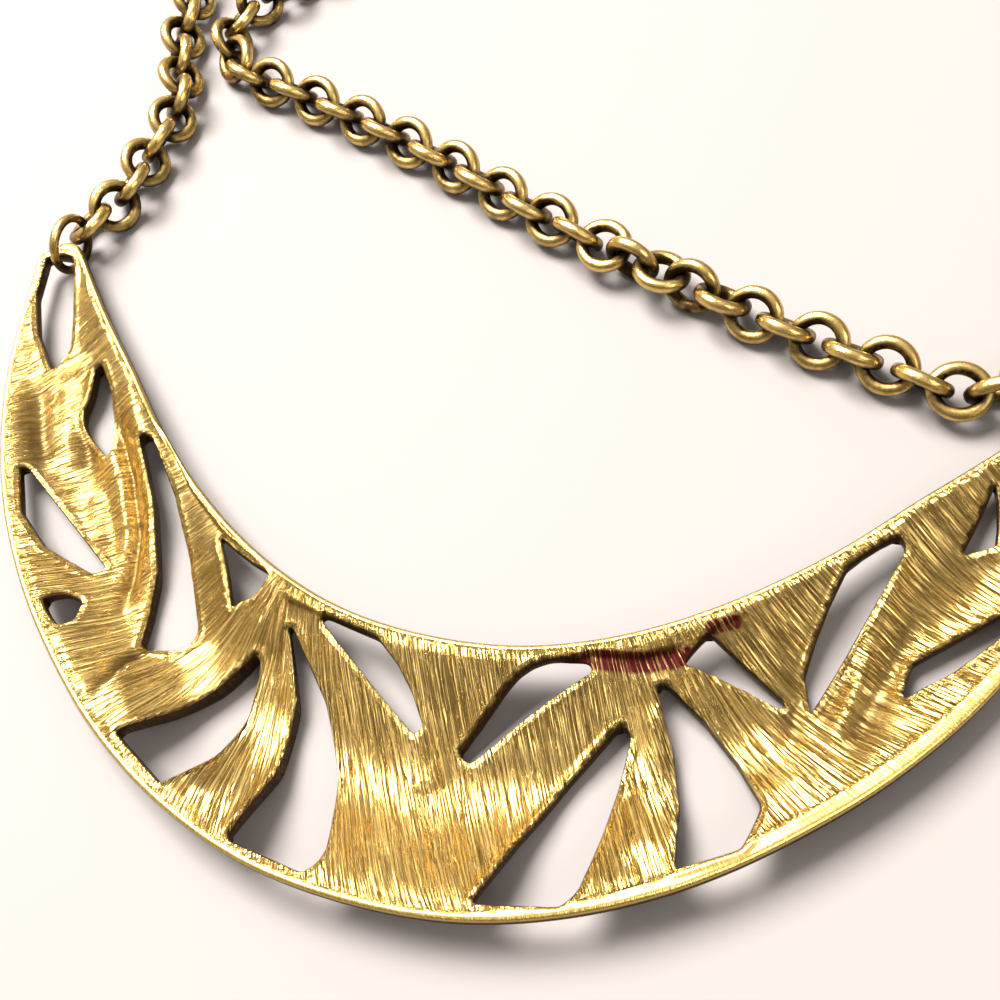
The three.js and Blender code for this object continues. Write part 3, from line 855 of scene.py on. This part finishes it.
def calculate(tree, operation, a, b=0.0, c=0.0, clamp=False):
    return add(tree, "ShaderNodeMath", {0: a, 1: b, 2: c}, operation=operation,
               use_clamp=clamp).outputs[0]


def span(tree, value, low, high, to_low=0.0, to_high=1.0):
    return add(tree, "ShaderNodeMapRange", {
        "Value": value, "From Min": low, "From Max": high, "To Min": to_low, "To Max": to_high,
    }, clamp=True).outputs["Result"]


def blend(tree, factor, a, b):
    node = tree.nodes.new("ShaderNodeMix")
    node.data_type = "RGBA"
    for index, value in ((0, factor), (6, a), (7, b)):
        if isinstance(value, bpy.types.NodeSocket):
            tree.links.new(value, node.inputs[index])
        else:
            node.inputs[index].default_value = value
    return node.outputs[2]


def new_group(name, inputs, outputs):
    tree = bpy.data.node_groups.new(name, "ShaderNodeTree")
    for label, kind, value in inputs:
        socket = tree.interface.new_socket(label, in_out="INPUT", socket_type=kind)
        if value is not None:
            socket.default_value = value
    for label, kind in outputs:
        tree.interface.new_socket(label, in_out="OUTPUT", socket_type=kind)
    return tree, tree.nodes.new("NodeGroupInput"), tree.nodes.new("NodeGroupOutput")


def place_group(tree, group, inputs):
    return add(tree, "ShaderNodeGroup", inputs, node_tree=group)


def brushed_lines_group():
    """Fine lines along the grain: a height and a mask of the deeper, darker ones."""
    tree, come, go = new_group("brushed_lines", [
        ("Grain", "NodeSocketVector", None), ("Density", "NodeSocketFloat", 2.0),
        ("Length", "NodeSocketFloat", 0.12)], [
        ("Height", "NodeSocketFloat"), ("Deep", "NodeSocketFloat")])
    split = add(tree, "ShaderNodeSeparateXYZ", {0: come.outputs["Grain"]})
    across = calculate(tree, "MULTIPLY", split.outputs[0], come.outputs["Density"])
    along = calculate(tree, "MULTIPLY", split.outputs[1], come.outputs["Length"])
    vector = add(tree, "ShaderNodeCombineXYZ", {0: across, 1: along}).outputs[0]
    total_height = None
    deepest = None
    for scale, share, thickness in ((1.0, 0.6, 0.035), (2.3, 0.45, 0.045)):
        noise = add(tree, "ShaderNodeTexNoise", {
            "Vector": vector, "Scale": scale, "Detail": 1.0, "Roughness": 0.5}).outputs[0]
        away = calculate(tree, "ABSOLUTE", calculate(tree, "SUBTRACT", noise, 0.5))
        line = span(tree, away, thickness, 0.0)
        raised = calculate(tree, "MULTIPLY_ADD", line, -0.22,
                           calculate(tree, "MULTIPLY", noise, share))
        if total_height is None:
            total_height, deepest = raised, line
        else:
            total_height = calculate(tree, "ADD", total_height, raised)
            deepest = calculate(tree, "MAXIMUM", deepest,
                                calculate(tree, "MULTIPLY", line, 0.7))
    tree.links.new(total_height, go.inputs["Height"])
    tree.links.new(deepest, go.inputs["Deep"])
    return tree


def patina_and_shade_group():
    """Blotches of dark patina where its first input is high: the plate's hollows, and the chain
    links' painted shade.
    """
    tree, come, go = new_group("patina_and_shade", [
        ("Hollows_and_shade", "NodeSocketFloat", 0.5), ("Amount", "NodeSocketFloat", 0.5),
        ("Scale", "NodeSocketFloat", 400.0)], [
        ("Mask", "NodeSocketFloat"), ("Speckle", "NodeSocketFloat")])
    place = add(tree, "ShaderNodeTexCoord").outputs["Object"]
    cloud = add(tree, "ShaderNodeTexNoise", {
        "Vector": place, "Scale": come.outputs["Scale"], "Detail": 5.0,
        "Roughness": 0.6}).outputs[0]
    cloud = span(tree, cloud, 0.35, 0.68)
    mixed = calculate(tree, "MULTIPLY_ADD", come.outputs["Hollows_and_shade"], 1.1,
                      calculate(tree, "MULTIPLY_ADD", cloud, 0.7, -0.55))
    mask = calculate(tree, "MULTIPLY", mixed, come.outputs["Amount"], clamp=True)
    speckle = add(tree, "ShaderNodeTexNoise", {
        "Vector": place, "Scale": 2600.0, "Detail": 3.0, "Roughness": 0.7}).outputs[0]
    tree.links.new(mask, go.inputs["Mask"])
    tree.links.new(span(tree, speckle, 0.58, 0.72), go.inputs["Speckle"])
    return tree


def start_material(name):
    material = bpy.data.materials.new(name)
    material.use_nodes = True
    tree = material.node_tree
    tree.nodes.clear()
    shader = tree.nodes.new("ShaderNodeBsdfPrincipled")
    output = tree.nodes.new("ShaderNodeOutputMaterial")
    tree.links.new(shader.outputs[0], output.inputs[0])
    return material, tree, shader


def attribute(tree, name):
    return add(tree, "ShaderNodeAttribute", attribute_name=name, attribute_type="GEOMETRY")


def antique_gold(lines, patina_and_shade):
    """Cast metal plated in gold: brushed leaves, dark grooves, polished rims, a red stain, and
    painted shade on the walls.
    """
    material, tree, shader = start_material("antique_gold")
    grain = attribute(tree, "grain").outputs["Vector"]
    finish = add(tree, "ShaderNodeSeparateXYZ", {0: attribute(tree, "finish").outputs["Vector"]})
    polish, depth, stain = finish.outputs[0], finish.outputs[1], finish.outputs[2]
    # painted shade on the walls, the underside and beside the edges
    painted_wall_shade = attribute(tree, "painted_wall_shade").outputs["Fac"]
    brushed = place_group(tree, lines, {"Grain": grain, "Density": 2.6, "Length": 0.045})
    shelter = span(tree, depth, 0.2, -0.5, 0.0, 0.85)
    patina_and_shade_node = place_group(tree, patina_and_shade, {"Hollows_and_shade": shelter, "Amount": 0.9, "Scale": 230.0})
    gold = blend(tree, span(tree, polish, 0.2, 0.9), LEAF_GOLD, RIM_GOLD)
    low = calculate(tree, "MULTIPLY", brushed.outputs["Deep"],
                    calculate(tree, "SUBTRACT", 0.62, polish, clamp=True))
    darkened = blend(tree, low, gold, GROOVE_BROWN)
    darkened = blend(tree, patina_and_shade_node.outputs["Mask"], darkened, PATINA_BROWN)
    darkened = blend(tree, calculate(tree, "MULTIPLY", patina_and_shade_node.outputs["Speckle"], 0.35),
                     darkened, SPECKLE_BROWN)
    darkened = blend(tree, painted_wall_shade, darkened, WALL_PAINTED_SHADE)
    red = calculate(tree, "MULTIPLY", span(tree, stain, 0.3, 0.6),
                    span(tree, brushed.outputs["Height"], 0.58, 0.50), clamp=True)
    color = blend(tree, red, darkened, STAIN_RED)
    rough = calculate(tree, "MULTIPLY_ADD", patina_and_shade_node.outputs["Mask"], 0.25,
                      calculate(tree, "MULTIPLY_ADD", brushed.outputs["Deep"], 0.14, 0.17))
    rough = calculate(tree, "MAXIMUM", rough, calculate(tree, "MULTIPLY", painted_wall_shade, 0.5))
    rough = calculate(tree, "MULTIPLY_ADD", red, 0.12, rough)
    shine = calculate(tree, "MULTIPLY_ADD", red, -0.3, 1.0)
    strength = span(tree, polish, 0.1, 0.9, 1.0, 0.05)
    height = calculate(tree, "MULTIPLY", brushed.outputs["Height"], strength)
    bump = add(tree, "ShaderNodeBump", {"Height": height, "Strength": 1.0, "Distance": 0.0006})
    for key, socket in (("Base Color", color), ("Roughness", rough), ("Metallic", shine),
                        ("Normal", bump.outputs[0])):
        tree.links.new(socket, shader.inputs[key])
    return material


def chain_gold(lines, patina_and_shade):
    """Drawn wire links: painted light on their upper side, painted shade on their inner side and
    where they touch, and blotches of dark patina.
    """
    material, tree, shader = start_material("aged_gold_chain")
    grain = attribute(tree, "grain").outputs["Vector"]
    # the wire's painted light and shade
    painted_light_and_shade = attribute(tree, "painted_light_and_shade").outputs["Fac"]
    drawn = place_group(tree, lines, {"Grain": grain, "Density": 3.2, "Length": 0.5})
    # the painted shade of the links goes into the patina's dark along with its blotches
    patina_and_shade_node = place_group(tree, patina_and_shade, {
        "Hollows_and_shade": span(tree, painted_light_and_shade, 0.9, 0.35), "Amount": 1.25, "Scale": 420.0})
    color = blend(tree, patina_and_shade_node.outputs["Mask"], CHAIN_GOLD, CHAIN_PATINA_AND_SHADE)
    color = blend(tree, calculate(tree, "MULTIPLY", drawn.outputs["Deep"], 0.3), color,
                  CHAIN_LINES)
    color = blend(tree, calculate(tree, "MULTIPLY", patina_and_shade_node.outputs["Speckle"], 0.4), color,
                  CHAIN_SPECKLE)
    rough = calculate(tree, "MULTIPLY_ADD", patina_and_shade_node.outputs["Mask"], 0.25, 0.2)
    bump = add(tree, "ShaderNodeBump", {
        "Height": drawn.outputs["Height"], "Strength": 0.25, "Distance": 0.00008})
    for key, socket in (("Base Color", color), ("Roughness", rough),
                        ("Normal", bump.outputs[0])):
        tree.links.new(socket, shader.inputs[key])
    shader.inputs["Metallic"].default_value = 1.0
    return material


# --- Floor, light and camera --------------------------------------------------------------

def pale_floor():
    material, _, shader = start_material("pale_floor")
    shader.inputs["Base Color"].default_value = FLOOR_COLOR
    shader.inputs["Roughness"].default_value = 0.75
    mesh = bpy.data.meshes.new("pale_floor")
    half = FLOOR_HALF_WIDTH
    mesh.from_pydata([(-half, -half, 0), (half, -half, 0), (half, half, 0), (-half, half, 0)],
                     [], [(0, 1, 2, 3)])
    mesh.materials.append(material)
    floor = bpy.data.objects.new("pale_floor", mesh)
    bpy.context.scene.collection.objects.link(floor)
    floor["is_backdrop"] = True


def panel(name, direction, distance, size, power, color):
    """A soft square light that faces the necklace."""
    light = bpy.data.lights.new(name, "AREA")
    light.shape = "SQUARE"
    light.size = size
    light.energy = power
    light.color = color
    lamp = bpy.data.objects.new(name, light)
    direction = Vector(direction).normalized()
    lamp.location = direction * distance
    lamp.rotation_euler = direction.to_track_quat("Z", "Y").to_euler()
    bpy.context.scene.collection.objects.link(lamp)


def studio():
    world = bpy.data.worlds.new("studio")
    world.use_nodes = True
    tree = world.node_tree
    background = tree.nodes["Background"]
    towards = add(tree, "ShaderNodeVectorMath", {
        0: add(tree, "ShaderNodeTexCoord").outputs["Generated"], 1: tuple(WINDOW_DIRECTION),
    }, operation="DOT_PRODUCT").outputs["Value"]
    room = blend(tree, span(tree, towards, 0.35, 1.0), ROOM_COLOR, ROOM_COLOR_AT_WINDOW)
    tree.links.new(room, background.inputs["Color"])
    bpy.context.scene.world = world
    bpy.context.scene.view_settings.view_transform = "Standard"
    panel("window", WINDOW_DIRECTION, 1.5, 0.8, 85.0, (1.0, 0.98, 0.95))
    panel("fill", FILL_DIRECTION, 1.8, 0.9, 10.0, (1.0, 0.95, 0.93))


def camera():
    data = bpy.data.cameras.new("camera")
    data.lens = LENS
    data.sensor_width = SENSOR_WIDTH
    data.clip_start = CLIP_START
    view = bpy.data.objects.new("camera", data)
    back = -CAMERA_FORWARD.normalized()
    up = (CAMERA_UP - CAMERA_UP.dot(back) * back).normalized()
    right = up.cross(back)
    matrix = Matrix((right, up, back)).transposed().to_4x4()
    matrix.translation = Vector((np.array(CAMERA_PLACE) + ORIGIN) * MM)
    view.matrix_world = matrix
    bpy.context.scene.collection.objects.link(view)
    bpy.context.scene.camera = view


# --- The necklace -------------------------------------------------------------------------

camera()
studio()
pale_floor()

lines_group = brushed_lines_group()
patina_and_shade_nodes = patina_and_shade_group()
plate_finish = antique_gold(lines_group, patina_and_shade_nodes)
chain_finish = chain_gold(lines_group, patina_and_shade_nodes)

hand_over(cast_plate(), "bib_plate", plate_finish)


def right_twist(i):
    at_tip = -LINK_LEAN * (1 - float(smoothstep(i, 1, 8)))
    return at_tip + math.pi / 2 * float(smoothstep(i, 10, 19))


def left_twist(i):
    return LEFT_TWIST * (1 - float(smoothstep(i, 1, 5)))


chain_side("right", RIGHT_ROUTE, 31, [9], -1, 0, RIGHT_TIP_RING_LEAN, right_twist,
           chain_finish, 100)
chain_side("left", LEFT_ROUTE, 11, [8, 7, 7], 1, 1, LEFT_TIP_RING_LEAN, left_twist,
           chain_finish, 300)
clasp_cover(chain_finish)

({"cad": [list(corner) for corner in cad_bounds],
           "visual": [list(corner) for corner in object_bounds()]})
